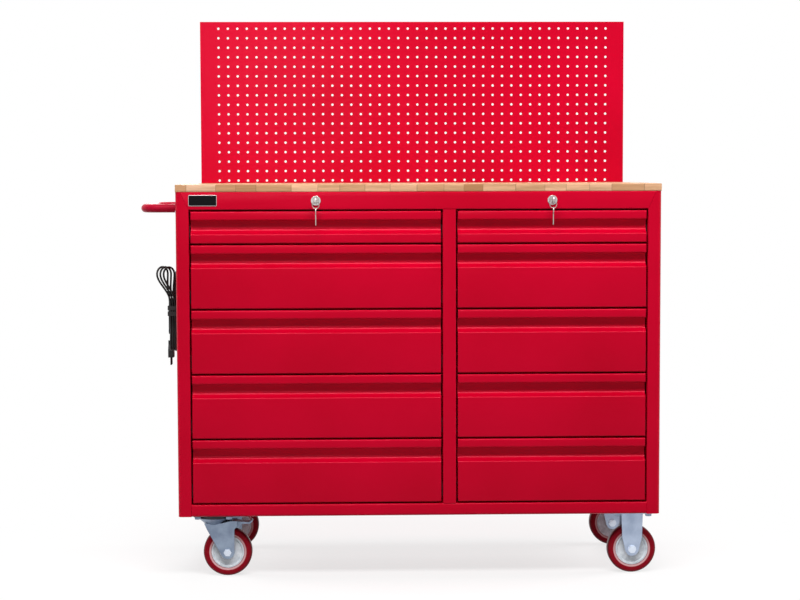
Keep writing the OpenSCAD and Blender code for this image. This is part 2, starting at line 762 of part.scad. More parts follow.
// Rigid casters: plate with two legs folded down, and the axle through them
module rigid_caster_forks() {
    leg_top = caster_h - plate_t / 2;
    leg_half = 25;
    leg_straight = 64;
    upper = [[rigid_x - leg_half, leg_top - leg_straight], [rigid_x - leg_half - 2, leg_top],
        [rigid_x + leg_half + 2, leg_top], [rigid_x + leg_half, leg_top - leg_straight]];
    for (y = caster_y) {
        color(zinc) {
            caster_plate(rigid_x, y);
            along_y(y - leg_gap - leg_t, y - leg_gap) fork_leg(rigid_x, upper);
            along_y(y + leg_gap, y + leg_gap + leg_t) fork_leg(rigid_x, upper);
        }
        axle(rigid_x, y);
    }
}

// Swivel plates: top plate, raceway ring under it and the headed kingpin
module swivel_caster_plates() {
    head_h = 3;
    color(zinc) for (y = caster_y) {
        caster_plate(swivel_x, y);
        translate([swivel_x, y, race_z]) difference() {
            cylinder(h = caster_h - race_z - plate_t / 2, r = race_r + 2);
            translate([0, 0, -1]) cylinder(h = caster_h - race_z - plate_t, r = race_r - 6);
        }
        translate([swivel_x, y, crown_z - head_h - 0.2]) {
            cylinder(h = head_h, r = 10);
            cylinder(h = caster_h - plate_t / 2 - crown_z + head_h, r = king_r);
        }
    }
}

// Swivel fork: flared crown under the raceway, two legs and the pin of the brake pedal
module swivel_fork(y) {
    x = swivel_x;
    axle_x = x + caster_trail;
    top = crown_z + crown_t;
    ear_z = pedal_z + 7;
    leg_back = axle_x + axle_boss_r;
    upper = [[x - crown_half, top - 10], [x - crown_half - 6, top + 4], [x + crown_half, top + 4],
        [pedal_x - 8, ear_z], [pedal_x + 8, ear_z], [pedal_x + 8, pedal_z - 5], [leg_back, pedal_z - 14]];
    bore = king_r + run_play;
    rim_z = race_z - race_play;
    color(zinc) {
        difference() {
            translate([x - crown_half, y - leg_gap - touch, crown_z])
                cube([2 * crown_half, 2 * leg_gap + 2 * touch, crown_t]);
            translate([x, y, crown_z - 1]) cylinder(h = crown_t + 2, r = crown_half - touch);
        }
        translate([x, y, 0]) rotate_extrude() polygon([[bore, crown_z], [crown_half, crown_z],
            [race_r, rim_z], [race_r - crown_t, rim_z], [crown_half - touch, top], [bore, top]]);
        along_y(y - leg_gap - leg_t, y - leg_gap) fork_leg(axle_x, upper);
        along_y(y + leg_gap, y + leg_gap + leg_t) fork_leg(axle_x, upper);
        rod_y(pedal_x, pedal_z, y - leg_gap - touch, y + leg_gap + touch, pedal_pin_r);
    }
}

// Brake pedal: a lever on the pin with a shoe over the tyre
module brake_pedal(y) {
    half = 15;
    color(zinc) difference() {
        union() {
            rod_y(pedal_x, pedal_z, y - leg_gap + 0.5, y + leg_gap - 0.5, 6.5);
            along_y(y - half, y + half) polygon([[pedal_x, pedal_z - 1], [pedal_x + 40, pedal_z - 1],
                [pedal_x + 47, pedal_z + 5], [pedal_x + 45, pedal_z + 8], [pedal_x + 38, pedal_z + 3],
                [pedal_x, pedal_z + 6]]);
            along_y(y - 12, y + 12) polygon([[pedal_x - 3, pedal_z - 9.4], [pedal_x + 12, pedal_z - 12.6],
                [pedal_x + 18, pedal_z], [pedal_x - 3, pedal_z]]);
        }
        rod_y(pedal_x, pedal_z, y - leg_gap, y + leg_gap, pedal_pin_r + run_play);
    }
}

// Wheel: cast hub turning on the axle, tyre moulded around it
module hub(x, y) {
    rim = wheel_w / 2 - 2;
    web = wheel_w / 2 - 5;
    boss = leg_gap - 0.5;
    boss_r = 13;
    rim_t = 4;
    slope = 2;
    bore = axle_r + run_play;
    color([0.8, 0.8, 0.78]) translate([x, y, axle_z]) rotate([90, 0, 0]) rotate_extrude()
        polygon([[bore, -boss], [boss_r, -boss], [boss_r + 1, -web], [hub_r - rim_t - slope, -web],
            [hub_r - rim_t, -rim], [hub_r, -rim], [hub_r, rim], [hub_r - rim_t, rim],
            [hub_r - rim_t - slope, web], [boss_r + 1, web], [boss_r, boss], [bore, boss]]);
}

module tyre(x, y) {
    r = wheel_d / 2;
    half = wheel_w / 2;
    bead = hub_r + 8;
    color([0.45, 0.02, 0.08]) translate([x, y, axle_z]) rotate([90, 0, 0]) rotate_extrude()
        polygon([[hub_r, -half + 2], [bead, -half], [r - 5, -half + 0.5], [r - 1.5, -half + 3.5],
            [r, -half + 8], [r, half - 8], [r - 1.5, half - 3.5], [r - 5, half - 0.5], [bead, half],
            [hub_r, half - 2]]);
}

wheel_x = [swivel_x + caster_trail, rigid_x];

translate([shift_x, shift_y, 0]) {
    left_side_panel();
    right_side_panel();
    back_panel();
    base_pan();
    center_divider();
    top_rail();
    worktop();
    perforated_panel();
    panel_posts();
    push_handle();
    cabinet_runners();
    outlet_box();
    cord_gland();
    power_cord();
    cord_hank();
    cord_tie();
    plug();
    rigid_caster_forks();
    swivel_caster_plates();
    lock_housings();
    for (c = [0, 1]) {
        lock(c);
        spare_key(c);
        lock_bar(c);
        for (row = [1 : row_count]) {
            drawer_front(c, row);
            drawer_box(c, row);
        }
        for (s = [0, 1]) {
            hub(wheel_x[c], caster_y[s]);
            tyre(wheel_x[c], caster_y[s]);
        }
    }
    for (s = [0, 1]) {
        swivel_fork(caster_y[s]);
        axle(swivel_x + caster_trail, caster_y[s]);
        brake_pedal(caster_y[s]);
    }
}
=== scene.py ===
import math

import bmesh
import bpy
from mathutils import Matrix, Vector


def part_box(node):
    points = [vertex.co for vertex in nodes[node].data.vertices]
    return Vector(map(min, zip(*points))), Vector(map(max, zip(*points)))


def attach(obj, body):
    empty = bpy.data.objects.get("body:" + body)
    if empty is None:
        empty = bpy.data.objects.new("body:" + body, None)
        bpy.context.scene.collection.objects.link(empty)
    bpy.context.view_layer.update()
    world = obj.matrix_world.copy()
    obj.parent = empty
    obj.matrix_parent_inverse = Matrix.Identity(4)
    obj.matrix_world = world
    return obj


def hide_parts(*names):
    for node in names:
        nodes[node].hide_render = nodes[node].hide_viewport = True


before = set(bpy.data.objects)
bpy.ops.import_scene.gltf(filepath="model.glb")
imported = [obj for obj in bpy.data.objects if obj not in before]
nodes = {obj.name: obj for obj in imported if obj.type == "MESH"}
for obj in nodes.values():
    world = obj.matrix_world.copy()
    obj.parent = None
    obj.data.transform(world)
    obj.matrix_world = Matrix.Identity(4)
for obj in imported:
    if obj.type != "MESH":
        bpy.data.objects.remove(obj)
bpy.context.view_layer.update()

# The body: side panels with their uprights, back, floor, divider and top rail.
# Steel sheet of 1.2 mm, cut, folded on a press and spot welded, then powder coated red as one.
# The coat is a satin gloss with a fine orange peel, a little thicker in some places than in others.
left_low, left_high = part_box("left_side_panel")
right_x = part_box("right_side_panel")[1].x
left_x, front_y, base_z = left_low
back_y = left_high.y
top_z = left_high.z
weld_gap = 1e-5
fold_angle = math.radians(35)
edge_angle = math.radians(40)
thin_red = (0.64, 0.0004, 0.024, 1)
thick_red = (0.55, 0.0002, 0.017, 1)


def wire(tree, kind, sockets=None, **settings):
    """Adds a node, sets its settings, and sets or links its sockets."""
    made = tree.nodes.new(kind)
    for key, value in settings.items():
        setattr(made, key, value)
    for key, value in (sockets or {}).items():
        if isinstance(value, bpy.types.NodeSocket):
            tree.links.new(value, made.inputs[key])
        else:
            made.inputs[key].default_value = value
    return made


def new_finish(name):
    """A material with its node tree, its shader and the Object coordinates."""
    finish = bpy.data.materials.new(name)
    finish.use_nodes = True
    tree = finish.node_tree
    shader = tree.nodes["Principled BSDF"]
    return finish, tree, shader, wire(tree, "ShaderNodeTexCoord").outputs["Object"]


def mottle(tree, place, scale, detail=3.0):
    """Soft noise from 0 to 1."""
    made = wire(tree, "ShaderNodeTexNoise", {"Vector": place, "Scale": scale, "Detail": detail})
    return made.outputs["Fac"]


def between(tree, amount, low, high):
    """Spreads a noise, which mostly lies between 0.3 and 0.7, over a range of one number."""
    made = wire(tree, "ShaderNodeMapRange",
                {"Value": amount, "From Min": 0.3, "From Max": 0.7, "To Min": low, "To Max": high})
    return made.outputs["Result"]


def blend_colours(tree, amount, first, second):
    """Mixes two colours, each written out or linked. A Mix node has them at inputs 6 and 7, output 2."""
    return wire(tree, "ShaderNodeMix", {0: amount, 6: first, 7: second}, data_type="RGBA").outputs[2]


def coat_with(tree, shader, colour, roughness):
    """Links a colour and a roughness to the shader."""
    tree.links.new(colour, shader.inputs["Base Color"])
    tree.links.new(roughness, shader.inputs["Roughness"])


def raise_grain(tree, shader, height, strength, depth):
    """Bump of a given depth in metres."""
    made = wire(tree, "ShaderNodeBump", {"Height": height, "Strength": strength, "Distance": depth})
    tree.links.new(made.outputs["Normal"], shader.inputs["Normal"])


def powder_coat(name, thin, thick, gloss):
    """Paint whose colour follows its thickness, with reflections that take on its red."""
    finish, tree, shader, place = new_finish(name)
    thickness = between(tree, mottle(tree, place, scale=3.5), low=0.0, high=1.0)
    haze = between(tree, mottle(tree, place, scale=46.0, detail=5.0), low=gloss - 0.015, high=gloss + 0.02)
    coat_with(tree, shader, blend_colours(tree, thickness, thin, thick), haze)
    raise_grain(tree, shader, mottle(tree, place, scale=620.0, detail=2.0), strength=0.10, depth=0.0004)
    shader.inputs["Specular IOR Level"].default_value = 0.32
    shader.inputs["Specular Tint"].default_value = (1.0, 0.17, 0.27, 1.0)
    return finish


def round_folds():
    """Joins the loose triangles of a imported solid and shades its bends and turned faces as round."""
    tree = bpy.data.node_groups.new("round_folds", "GeometryNodeTree")
    tree.interface.new_socket("Geometry", in_out="INPUT", socket_type="NodeSocketGeometry")
    tree.interface.new_socket("Geometry", in_out="OUTPUT", socket_type="NodeSocketGeometry")
    source = wire(tree, "NodeGroupInput").outputs[0]
    bare = wire(tree, "GeometryNodeRemoveAttribute", {"Geometry": source, "Name": "custom_normal"})
    joined = wire(tree, "GeometryNodeMergeByDistance", {"Geometry": bare.outputs[0], "Distance": weld_gap})
    smooth = wire(tree, "GeometryNodeSetShadeSmooth",
                  {0: joined.outputs[0], "Shade Smooth": True}, domain="FACE")
    soft = wire(tree, "GeometryNodeSetShadeSmooth",
                {0: smooth.outputs[0], "Shade Smooth": True}, domain="EDGE")
    angle = wire(tree, "GeometryNodeInputMeshEdgeAngle").outputs["Unsigned Angle"]
    corner = wire(tree, "FunctionNodeCompare", {0: angle, 1: fold_angle}, operation="GREATER_THAN")
    crisp = wire(tree, "GeometryNodeSetShadeSmooth",
                 {0: soft.outputs[0], "Selection": corner.outputs[0], "Shade Smooth": False}, domain="EDGE")
    wire(tree, "NodeGroupOutput", {0: crisp.outputs[0]})
    return tree


folds = round_folds()


def dress(names, finish, broken_edge=0.0):
    """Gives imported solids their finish, round bends and, where asked, edges broken by a small radius."""
    for name in names:
        nodes[name].material_slots[0].material = finish
        nodes[name].modifiers.new("folds", "NODES").node_group = folds
        if broken_edge:
            edge = nodes[name].modifiers.new("broken_edge", "BEVEL")
            edge.width = broken_edge
            edge.segments = 2
            edge.limit_method = "ANGLE"
            edge.angle_limit = edge_angle
            edge.harden_normals = True


enamel = powder_coat("red_enamel", thin_red, thick_red, gloss=0.22)
dress(["left_side_panel", "right_side_panel", "back_panel"], enamel)
dress(["base_pan", "center_divider", "top_rail"], enamel)

# Rivets along the back: blind rivets of painted aluminium that hold the back to the side flanges.
# Each is a low dome with a dimple where its stem broke off.
rivet_r = 0.0032
rivet_h = 0.0013
rivet_dimple = 0.3
rivet_spacing = 0.126
rivet_margin = 0.025
rivet_inset = 0.011


def onto(place, axis):
    """A matrix that stands a shape, drawn along +Z, on a place and along an axis."""
    return Matrix.Translation(place) @ Vector(axis).to_track_quat("Z", "Y").to_matrix().to_4x4()


def round_edges(shape, edges, radius, steps):
    bmesh.ops.bevel(shape, geom=edges, offset=radius, segments=steps, profile=0.5, affect="EDGES",
                    material=-1)


def top_face(shape):
    """The highest face, and the largest of those that lie level."""
    return max(shape.faces, key=lambda f: (round(f.calc_center_median().z, 6), f.calc_area()))


def domed_head(radius, height, dimple):
    """A round head, drawn along +Z, with a soft rim and a sunk middle, sized as a part of its radius."""
    rim_part = 0.6
    flat_part = 0.7
    lip_part = 0.06
    sink_part = 0.45
    shape = bmesh.new()
    bmesh.ops.create_cone(shape, cap_ends=True, segments=18, radius1=radius, radius2=radius, depth=height,
                          matrix=Matrix.Translation((0, 0, height / 2)))
    rim = [e for e in shape.edges if min(v.co.z for v in e.verts) > height / 2]
    round_edges(shape, rim, radius=height * rim_part, steps=3)
    top = top_face(shape)
    bmesh.ops.inset_region(shape, faces=[top], thickness=radius * (flat_part - dimple))
    bmesh.ops.inset_region(shape, faces=[top], thickness=radius * lip_part, depth=-height * sink_part)
    return shape


def fit(name, shape, finishes, body):
    """Makes a shape a piece of the object, riding on a body."""
    mesh = bpy.data.meshes.new(name)
    shape.to_mesh(mesh)
    shape.free()
    for finish in finishes:
        mesh.materials.append(finish)
    made = bpy.data.objects.new(name, mesh)
    bpy.context.scene.collection.objects.link(made)
    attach(made, body)
    return made


def set_out(name, head, places, finish, body):
    """One piece of like fasteners, each a copy of the head on its place."""
    single = bpy.data.meshes.new(name + "_single")
    head.to_mesh(single)
    head.free()
    shape = bmesh.new()
    for spot in places:
        before = len(shape.verts)
        shape.from_mesh(single)
        shape.verts.ensure_lookup_table()
        bmesh.ops.transform(shape, matrix=spot, verts=shape.verts[before:])
    bpy.data.meshes.remove(single)
    return fit(name, shape, [finish], body)


rivet_rows = int((top_z - base_z) / rivet_spacing)
rivet_places = []
for row in range(rivet_rows + 1):
    rivet_z = base_z + rivet_margin + row * (top_z - base_z - 2 * rivet_margin) / rivet_rows
    for rivet_x in (left_x + rivet_inset, right_x - rivet_inset):
        rivet_places.append(onto((rivet_x, back_y, rivet_z), (0, 1, 0)))
rivet_head = domed_head(rivet_r, rivet_h, rivet_dimple)
set_out("back_rivets", rivet_head, rivet_places, enamel, "cabinet")

# The name plate: a thin pressed plate with a bright raised border round a black field, left bare.
# It is glued on the top rail beside the left corner.
plate_w = 0.070
plate_h = 0.027
plate_t = 0.0014
plate_border = 0.0008
plate_corner_r = 0.003
plate_edge_r = 0.0003
border_slope = 0.0004
field_sink = 0.0005
plate_start = 0.0325
plate_rise = 0.0229
plate_x = left_x + plate_start + plate_w / 2
plate_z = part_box("top_rail")[0].z + plate_rise


def polished_metal(name, light, dark, scale, detail, low, high):
    """Bright metal under a faint film that changes its colour and gloss."""
    finish, tree, shader, place = new_finish(name)
    film = mottle(tree, place, scale, detail)
    coat_with(tree, shader, blend_colours(tree, film, light, dark), between(tree, film, low, high))
    shader.inputs["Metallic"].default_value = 1.0
    return finish


def black_lacquer(name, light, dark):
    finish, tree, shader, place = new_finish(name)
    film = mottle(tree, place, scale=240.0)
    coat_with(tree, shader, blend_colours(tree, film, light, dark),
              between(tree, film, low=0.25, high=0.38))
    shader.inputs["Specular IOR Level"].default_value = 0.03
    return finish


bright = polished_metal("bright_plate", (0.50, 0.49, 0.49, 1), (0.38, 0.38, 0.38, 1),
                        scale=300.0, detail=4.0, low=0.12, high=0.24)
black_field = black_lacquer("black_field", (0.005, 0.005, 0.006, 1), (0.010, 0.010, 0.011, 1))
plate = bmesh.new()
bmesh.ops.create_cube(plate, size=1.0, matrix=Matrix.Diagonal((plate_w, plate_h, plate_t, 1)))
corners = [e for e in plate.edges if abs(e.verts[0].co.z - e.verts[1].co.z) > plate_t / 2]
round_edges(plate, corners, radius=plate_corner_r, steps=4)
round_edges(plate, list(top_face(plate).edges), radius=plate_edge_r, steps=2)
face = top_face(plate)
bmesh.ops.inset_region(plate, faces=[face], thickness=plate_border)
bmesh.ops.inset_region(plate, faces=[face], thickness=border_slope, depth=-field_sink)
face.material_index = 1
plate_spot = onto((plate_x, front_y - plate_t / 2, plate_z), (0, -1, 0))
bmesh.ops.transform(plate, verts=plate.verts, matrix=plate_spot)
fit("name_plate", plate, [bright, black_field], "cabinet")

# Casters: stamped steel forks and pedals, plated with zinc that has a blue cast. The swivel forks, pedals
# and plate bolts are a darker copy of that zinc as painted shade, and the swivel plates are dark as painted
# shade under the body. Each plate is bolted through the floor of the body with four hexagon bolts and
# washers.
nut_r = 0.0104
bright_plating = (0.66, 0.72, 0.82, 1)
dull_plating = (0.50, 0.55, 0.64, 1)
shaded_light_blue = (0.27, 0.33, 0.42, 1)
shaded_dark_blue = (0.17, 0.21, 0.29, 1)
pale_blue = (0.42, 0.49, 0.62, 1)
mid_blue = (0.30, 0.36, 0.48, 1)
shade_black_light = (0.050, 0.050, 0.055, 1)
shade_black_deep = (0.030, 0.030, 0.034, 1)
fork_edge = 0.0006
axle_edge = 0.0008
bolt_across = 0.0145
bolt_head = 0.0053
bolt_chamfer = 0.0009
washer_r = 0.0095
washer_t = 0.0014
washer_taper = 0.96
plate_depth = 0.084
plate_inset = 0.011
caster_plate_t = 0.004


def out_from(tree, place, axle):
    """Distance from an axle that runs along Y."""
    offset = wire(tree, "ShaderNodeVectorMath", {0: place, 1: axle}, operation="SUBTRACT").outputs[0]
    across = wire(tree, "ShaderNodeVectorMath", {0: offset, 1: (1, 0, 1)}, operation="MULTIPLY").outputs[0]
    return wire(tree, "ShaderNodeVectorMath", {0: across}, operation="LENGTH").outputs["Value"]


def zinc_plate(name, light, dark, low, high, axle=None):
    """Plating with soft clouds. With an axle, the nuts on it are newer and brighter than the rest."""
    finish, tree, shader, place = new_finish(name)
    cloud = mottle(tree, place, scale=34.0, detail=4.0)
    tint = blend_colours(tree, between(tree, cloud, low=0.0, high=1.0), light, dark)
    if axle:
        away = out_from(tree, place, axle)
        nut = wire(tree, "ShaderNodeMath", {0: away, 1: nut_r}, operation="LESS_THAN")
        tint = blend_colours(tree, nut.outputs[0], tint, bright_plating)
    grains = wire(tree, "ShaderNodeTexVoronoi", {"Vector": place, "Scale": 420.0}).outputs["Distance"]
    streak = wire(tree, "ShaderNodeMath", {0: grains, 1: cloud}, operation="MULTIPLY").outputs[0]
    rough = wire(tree, "ShaderNodeMapRange", {"Value": streak, "From Min": 0.0, "From Max": 0.4,
                                              "To Min": low, "To Max": high})
    coat_with(tree, shader, tint, rough.outputs["Result"])
    raise_grain(tree, shader, mottle(tree, place, scale=900.0), strength=0.12, depth=0.0002)
    shader.inputs["Metallic"].default_value = 1.0
    return finish


rigid_low, rigid_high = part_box("rigid_caster_forks")
rigid_axle = ((rigid_low.x + rigid_high.x) / 2, 0.0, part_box("front_right_tyre")[1].z / 2)
# The swivel zinc is darker than the rigid zinc as painted shade; the dark zinc is painted shade under the
# body.
zinc = zinc_plate("shaded_blue_zinc", shaded_light_blue, shaded_dark_blue, low=0.30, high=0.48)
rigid_zinc = zinc_plate("rigid_zinc", pale_blue, mid_blue, low=0.30, high=0.48, axle=rigid_axle)
shade_dark_zinc = zinc_plate("shade_dark_zinc", shade_black_light, shade_black_deep, low=0.42, high=0.60)
bright_zinc = zinc_plate("bright_zinc", bright_plating, dull_plating, low=0.20, high=0.34)
dress(["swivel_caster_plates"], shade_dark_zinc, fork_edge)
dress(["rigid_caster_forks"], rigid_zinc, fork_edge)
for end in ("front", "rear"):
    dress([f"{end}_swivel_fork", f"{end}_brake_pedal"], zinc, fork_edge)
    dress([f"{end}_swivel_axle"], bright_zinc, axle_edge)


def hex_bolt():
    """A washer and a hexagon head with a chamfered top, drawn along +Z."""
    shape = bmesh.new()
    bmesh.ops.create_cone(shape, cap_ends=True, segments=24, radius1=washer_r,
                          radius2=washer_r * washer_taper, depth=washer_t,
                          matrix=Matrix.Translation((0, 0, washer_t / 2)))
    corner_r = bolt_across / math.sqrt(3)
    bmesh.ops.create_cone(shape, cap_ends=True, segments=6, radius1=corner_r, radius2=corner_r,
                          depth=bolt_head, matrix=Matrix.Translation((0, 0, washer_t + bolt_head / 2)))
    round_edges(shape, list(top_face(shape).edges), radius=bolt_chamfer, steps=2)
    return shape


swivel_low, swivel_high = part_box("swivel_caster_plates")
plate_length = swivel_high.x - swivel_low.x
bolt_places = []
for plate_low_x in (swivel_low.x, rigid_low.x):
    for plate_low_y in (swivel_low.y, swivel_high.y - plate_depth):
        for bolt_x in (plate_low_x + plate_inset, plate_low_x + plate_length - plate_inset):
            for bolt_y in (plate_low_y + plate_inset, plate_low_y + plate_depth - plate_inset):
                bolt_places.append(onto((bolt_x, bolt_y, base_z - caster_plate_t), (0, 0, -1)))
set_out("caster_bolts", hex_bolt(), bolt_places, zinc, "cabinet")

# Wheels: a cast and silver-painted hub with a tyre of dark red polyurethane moulded round it.
# The tyre's bead next to the hub is a pale pink ring with a painted highlight on it, the gap at the hub and
# the tyre's outer edge carry painted shade, and its tread is scuffed and dusty.
tyre_r = 0.061
bead_highlight_r = 0.0485
hub_r = 0.041
hub_edge = 0.0005
shade_gap_w = 0.0012
bead_highlight_soft = 0.0030
bead_highlight_line = 0.0014
shoulder_shade_part = 0.94
tread_shade_part = 0.99


def cast_hub(light, dark):
    finish, tree, shader, place = new_finish("cast_hub")
    blotch = between(tree, mottle(tree, place, scale=95.0, detail=5.0), low=0.0, high=1.0)
    coat_with(tree, shader, blend_colours(tree, blotch, light, dark),
              between(tree, mottle(tree, place, scale=260.0), low=0.42, high=0.62))
    raise_grain(tree, shader, mottle(tree, place, scale=380.0, detail=4.0), strength=0.35, depth=0.0006)
    return finish


def tread(name, axle):
    """Rings of colour round the axle: a dark ring of painted shade in the gap at the hub, the pale bead
    with a painted highlight, the red tyre and painted shade darkening its outer edge and tread.
    """
    finish, tree, shader, place = new_finish(name)
    part = wire(tree, "ShaderNodeMath", {0: out_from(tree, place, axle), 1: tyre_r}, operation="DIVIDE")
    rings = wire(tree, "ShaderNodeValToRGB", {"Fac": part.outputs[0]})
    ramp = rings.color_ramp
    # The first stop is painted shade in the gap at the hub. The pale stops are the bead with a painted
    # highlight, and the last two are painted shade on the outer edge and tread.
    ramp.elements[0].position = hub_r / tyre_r
    ramp.elements[0].color = (0.12, 0.01, 0.02, 1)
    ramp.elements[1].position = tread_shade_part
    ramp.elements[1].color = (0.10, 0.002, 0.008, 1)
    for stop, colour in (((hub_r + shade_gap_w) / tyre_r, (0.74, 0.40, 0.42, 1)),
                         ((bead_highlight_r - bead_highlight_soft) / tyre_r, (0.78, 0.46, 0.47, 1)),
                         ((bead_highlight_r - bead_highlight_line) / tyre_r, (0.30, 0.001, 0.011, 1)),
                         (shoulder_shade_part, (0.25, 0.001, 0.009, 1))):
        ramp.elements.new(stop).color = colour
    dust = between(tree, mottle(tree, place, scale=150.0, detail=5.0), low=0.0, high=0.05)
    coat_with(tree, shader, blend_colours(tree, dust, rings.outputs["Color"], (0.30, 0.16, 0.15, 1)),
              between(tree, mottle(tree, place, scale=70.0), low=0.30, high=0.44))
    shader.inputs["Specular IOR Level"].default_value = 0.22
    shader.inputs["Specular Tint"].default_value = (1.0, 0.25, 0.32, 1.0)
    raise_grain(tree, shader, mottle(tree, place, scale=300.0, detail=4.0), strength=0.15, depth=0.0005)
    return finish


hub_finish = cast_hub((0.90, 0.95, 1.0, 1), (0.62, 0.68, 0.74, 1))
for end in ("front", "rear"):
    for side in ("left", "right"):
        low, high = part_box(f"{end}_{side}_tyre")
        dress([f"{end}_{side}_hub"], hub_finish, hub_edge)
        dress([f"{end}_{side}_tyre"], tread(f"{end}_{side}_tread", (low + high) / 2))

# Runners: ten pairs of channels, roll-formed from zinc-plated strip, on the uprights and posts.
# The lock bars behind the drawers are flat bars of the same strip with a bent tooth for each drawer.
# Runners and lock bars take the dark zinc. Its dark colour is painted shade that keeps the gaps beside the
# drawers dark.
dress(["cabinet_runners", "left_lock_bar", "right_lock_bar"], shade_dark_zinc)

# Locks: a chromed housing in the top rail with a turning barrel, and the key that stands in it.
# A second nickel-plated key hangs from the first one's bow on a ring of spring wire.
housing_edge = 0.0005
key_edge = 0.0003
chrome = polished_metal("chrome", (0.62, 0.58, 0.58, 1), (0.50, 0.47, 0.47, 1),
                        scale=400.0, detail=3.0, low=0.08, high=0.18)
nickel = zinc_plate("nickel", (0.50, 0.46, 0.44, 1), (0.38, 0.35, 0.34, 1), low=0.20, high=0.36)
dress(["lock_housings"], chrome, housing_edge)
for side in ("left", "right"):
    dress([f"{side}_lock", f"{side}_spare_key"], nickel, key_edge)

# Drawers: each front is one sheet folded into grip band, finger recess and face, welded to its box.
# The boxes are folded trays of the same sheet, coated with the body.
rows = 5
for side in ("left", "right"):
    for row in range(1, rows + 1):
        dress([f"{side}_drawer_{row}_front", f"{side}_drawer_{row}_box"], enamel)

# Worktop: a board of rubberwood staves, finger-jointed end to end and glued side by side.
# It is sanded, oiled and screwed to the body from below.
stave_w = 0.043
block_l = 0.062
block_spread = 1.3
finger_l = 0.011
finger_w = 0.0052
glue_line = 0.0006
glue_dark = 0.6
board_edge = 0.0012


def finger_jointed_wood():
    """Blocks of chance tones, each row of them slid along, with grain along X and a dark glue line."""
    finish, tree, shader, place = new_finish("finger_jointed_wood")

    def reckon(operation, first, second):
        """One step of arithmetic on two numbers."""
        return wire(tree, "ShaderNodeMath", {0: first, 1: second}, operation=operation).outputs[0]

    def stretched(source, scale):
        return wire(tree, "ShaderNodeMapping", {"Vector": source, "Scale": scale}).outputs[0]

    axes = wire(tree, "ShaderNodeSeparateXYZ", {0: place}).outputs
    first_stave = front_y - stave_w / 2
    stave = reckon("FLOOR", reckon("DIVIDE", reckon("SUBTRACT", axes["Y"], first_stave), stave_w), 0.0)
    slide = wire(tree, "ShaderNodeTexWhiteNoise", {"W": stave}, noise_dimensions="1D").outputs["Value"]
    teeth = reckon("PINGPONG", axes["Y"], finger_w / 2)
    reach = reckon("MULTIPLY", teeth, finger_l / block_l / (finger_w / 2))
    far_apart = reckon("MULTIPLY", stave, 3.7)
    run = wire(tree, "ShaderNodeCombineXYZ", {"X": axes["X"], "Y": far_apart}).outputs[0]
    wander = reckon("MULTIPLY", mottle(tree, run, scale=7.0, detail=0.0), block_spread)
    blocks = reckon("ADD", reckon("DIVIDE", axes["X"], block_l), reckon("ADD", slide, wander))
    blocks = reckon("ADD", blocks, reach)
    block = reckon("FLOOR", blocks, 0.0)
    pair = wire(tree, "ShaderNodeCombineXYZ", {"X": block, "Y": stave}).outputs[0]
    chance = wire(tree, "ShaderNodeTexWhiteNoise", {"Vector": pair}, noise_dimensions="3D").outputs["Value"]
    tones = wire(tree, "ShaderNodeValToRGB", {"Fac": chance})
    tones.color_ramp.elements[0].color = (0.56, 0.270, 0.125, 1)
    tones.color_ramp.elements[1].color = (1.00, 0.640, 0.430, 1)
    tones.color_ramp.elements.new(0.35).color = (0.84, 0.480, 0.270, 1)
    tones.color_ramp.elements.new(0.70).color = (0.98, 0.570, 0.350, 1)
    shifted = wire(tree, "ShaderNodeVectorMath", {0: place, 1: pair}, operation="ADD").outputs[0]
    rings = mottle(tree, stretched(shifted, (5.0, 95.0, 95.0)), scale=1.0, detail=5.0)
    pores = mottle(tree, stretched(place, (40.0, 900.0, 900.0)), scale=1.0, detail=2.0)
    grain = blend_colours(tree, between(tree, rings, low=0.0, high=0.55), tones.outputs["Color"],
                          (0.34, 0.17, 0.065, 1))
    flecked = blend_colours(tree, between(tree, pores, low=0.0, high=0.22), grain, (0.20, 0.09, 0.035, 1))
    edge = reckon("PINGPONG", reckon("ADD", blocks, 0.5), 0.5)
    glue = reckon("GREATER_THAN", edge, 0.5 - glue_line / block_l)
    glued = blend_colours(tree, reckon("MULTIPLY", glue, glue_dark), flecked, (0.16, 0.07, 0.03, 1))
    coat_with(tree, shader, glued, between(tree, rings, low=0.42, high=0.58))
    raise_grain(tree, shader, pores, strength=0.18, depth=0.0004)
    shader.inputs["Specular IOR Level"].default_value = 0.20
    return finish


dress(["worktop"], finger_jointed_wood(), board_edge)

# Perforated panel: a shallow steel tray with holes an inch apart, coated as the body.
# Two square tubes behind the body carry it, with pan-head screws through the tubes.
dress(["perforated_panel", "panel_posts"], enamel)
screw_dimple = 0.35
screw_r = 0.0042
screw_h = 0.0024
post_w = 0.030
panel_parts = (0.08, 0.36, 0.64, 0.92)
body_parts = (0.25, 0.75)
posts_low, posts_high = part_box("panel_posts")
panel_low, panel_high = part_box("perforated_panel")
screw_places = []
for screw_x in (posts_low.x + post_w / 2, posts_high.x - post_w / 2):
    on_panel = [panel_low.z + part * (panel_high.z - panel_low.z) for part in panel_parts]
    on_body = [posts_low.z + part * (panel_low.z - posts_low.z) for part in body_parts]
    for screw_z in on_panel + on_body:
        screw_places.append(onto((screw_x, posts_high.y, screw_z), (0, 1, 0)))
post_screw = domed_head(screw_r, screw_h, screw_dimple)
set_out("post_screws", post_screw, screw_places, bright_zinc, "cabinet")

